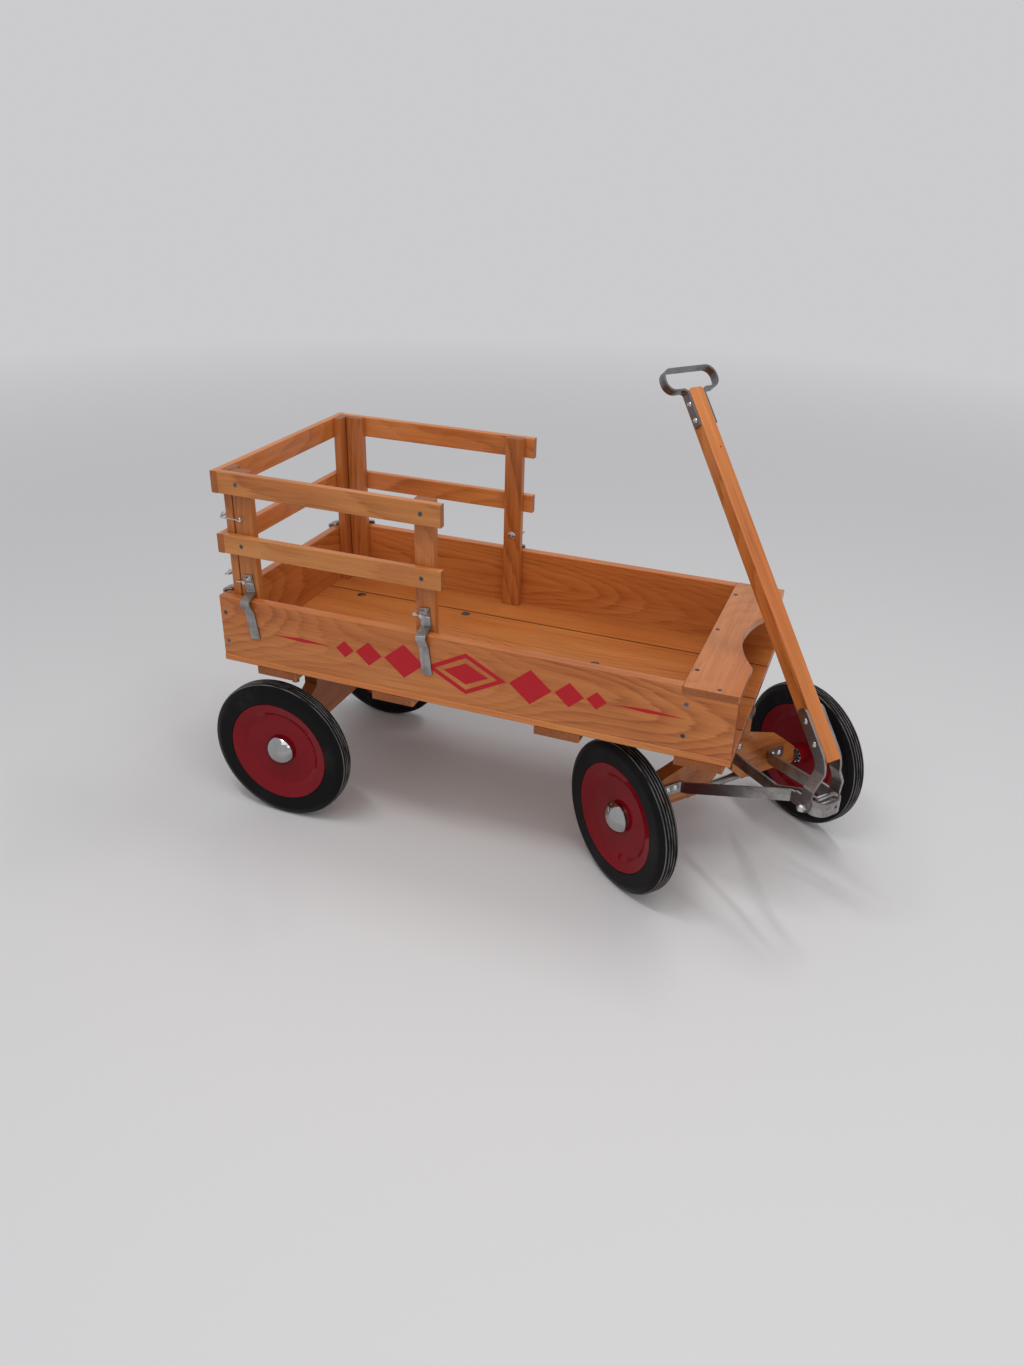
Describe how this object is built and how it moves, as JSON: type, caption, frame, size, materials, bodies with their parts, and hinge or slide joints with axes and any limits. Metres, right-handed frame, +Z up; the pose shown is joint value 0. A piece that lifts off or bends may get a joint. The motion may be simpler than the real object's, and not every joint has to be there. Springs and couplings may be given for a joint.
{
  "type": "wagon with pull handle",
  "caption": "Wooden child's wagon with a plank box, lift-off side racks, red disc wheels, a steered front axle and a pull handle with a steel loop grip.",
  "frame": {"origin": "middle of the deck's top face, on the floor of the box", "axes": "+X forward to the pull handle, +Y to the wagon's left, +Z up; the front gear is turned 37.85 degrees to the right at rest"},
  "size_m": [1.0683, 0.4812, 0.7698],
  "materials": {
    "box_wood": "varnished oak, satin",
    "deck_wood": "varnished oak, satin",
    "rack_wood": "varnished oak, satin",
    "handle_wood": "varnished oak, satin",
    "strap_steel": "weathered flat steel",
    "zinc": "bright zinc plate",
    "dark_bolts": "dark oxide",
    "wheel_red": "gloss red enamel",
    "tyre_rubber": "matt rubber",
    "cap_chrome": "polished"
  },
  "bodies": {
    "root": {"deck_planks": "deck_wood", "deck_cleats": "deck_wood", "deck_bolts": "dark_bolts", "right_side_board": "box_wood", "left_side_board": "box_wood", "rear_board": "box_wood", "front_board": "box_wood", "seat_board": "box_wood", "box_screws": "zinc", "rear_bolster": "box_wood", "rear_axle": "zinc", "rear_axle_hardware": "zinc", "upper_turntable": "strap_steel", "king_bolt": "zinc"},
    "front_gear": {"front_bolster": "box_wood", "front_axle": "zinc", "front_axle_hardware": "zinc", "lower_turntable": "strap_steel", "right_hound_strap": "strap_steel", "left_hound_strap": "strap_steel", "center_strap": "strap_steel", "hitch_yoke": "strap_steel", "hitch_bolt": "zinc", "hitch_spacer": "zinc", "gear_bolts": "zinc"},
    "handle": {"handle_bar": "handle_wood", "handle_grip": "strap_steel", "right_handle_strap": "strap_steel", "left_handle_strap": "strap_steel", "handle_rivets": "zinc"},
    "rear_right_wheel": {"rear_right_tyre": "tyre_rubber", "rear_right_disc": "wheel_red", "rear_right_bearings": "zinc", "rear_right_hub_cap": "cap_chrome"},
    "rear_left_wheel": {"rear_left_tyre": "tyre_rubber", "rear_left_disc": "wheel_red", "rear_left_bearings": "zinc", "rear_left_hub_cap": "cap_chrome"},
    "front_right_wheel": {"front_right_tyre": "tyre_rubber", "front_right_disc": "wheel_red", "front_right_bearings": "zinc", "front_right_hub_cap": "cap_chrome"},
    "front_left_wheel": {"front_left_tyre": "tyre_rubber", "front_left_disc": "wheel_red", "front_left_bearings": "zinc", "front_left_hub_cap": "cap_chrome"},
    "right_rack": {"right_rack_rails": "rack_wood", "right_rack_posts": "rack_wood", "right_rack_clips": "strap_steel", "right_rack_fasteners": "zinc"},
    "left_rack": {"left_rack_rails": "rack_wood", "left_rack_posts": "rack_wood", "left_rack_clips": "strap_steel", "left_rack_fasteners": "zinc"},
    "rear_rack": {"rear_rack_rails": "rack_wood", "rear_rack_posts": "rack_wood", "rear_rack_clips": "strap_steel", "rear_rack_fasteners": "zinc"},
    "right_hook": {"right_hook": "zinc"},
    "left_hook": {"left_hook": "zinc"}
  },
  "joints": [
    {"name": "steer", "type": "hinge", "parent": "root", "child": "front_gear", "pos_m": [0.3811, 0, -0.1707], "axis": [0, 0, 1], "range_deg": [-12.15, 87.85]},
    {"name": "pull_handle", "type": "hinge", "parent": "front_gear", "child": "handle", "pos_m": [0.54771, -0.12947, -0.0807], "axis": [0.6136, 0.7896, 0], "range_deg": [0, 145]},
    {"name": "rear_right_spin", "type": "hinge", "parent": "root", "child": "rear_right_wheel", "pos_m": [-0.3341, -0.1923, -0.1707], "axis": [0, 1, 0], "continuous": true},
    {"name": "front_right_spin", "type": "hinge", "parent": "front_gear", "child": "front_right_wheel", "pos_m": [0.26074, -0.15488, -0.1707], "axis": [0.6136, 0.7896, 0], "continuous": true},
    {"name": "rear_left_spin", "type": "hinge", "parent": "root", "child": "rear_left_wheel", "pos_m": [-0.3341, 0.1923, -0.1707], "axis": [0, 1, 0], "continuous": true},
    {"name": "front_left_spin", "type": "hinge", "parent": "front_gear", "child": "front_left_wheel", "pos_m": [0.50146, 0.15488, -0.1707], "axis": [0.6136, 0.7896, 0], "continuous": true},
    {"name": "right_rack_lift", "type": "slide", "parent": "root", "child": "right_rack", "axis": [0, 0, 1], "range_m": [0, 0.11]},
    {"name": "left_rack_lift", "type": "slide", "parent": "root", "child": "left_rack", "axis": [0, 0, 1], "range_m": [0, 0.11]},
    {"name": "rear_rack_lift", "type": "slide", "parent": "root", "child": "rear_rack", "axis": [0, 0, 1], "range_m": [0, 0.11]},
    {"name": "right_hook_turn", "type": "hinge", "parent": "right_rack", "child": "right_hook", "pos_m": [-0.3732, -0.1959, 0.2353], "axis": [0, 0, 1], "range_deg": [0, 120]},
    {"name": "left_hook_turn", "type": "hinge", "parent": "left_rack", "child": "left_hook", "pos_m": [-0.3732, 0.1959, 0.2353], "axis": [0, 0, -1], "range_deg": [0, 120]}
  ],
  "couplings": [
    {"joint": "left_rack_lift", "follows": "right_rack_lift", "ratio": 1},
    {"joint": "rear_rack_lift", "follows": "right_rack_lift", "ratio": 1}
  ]
}
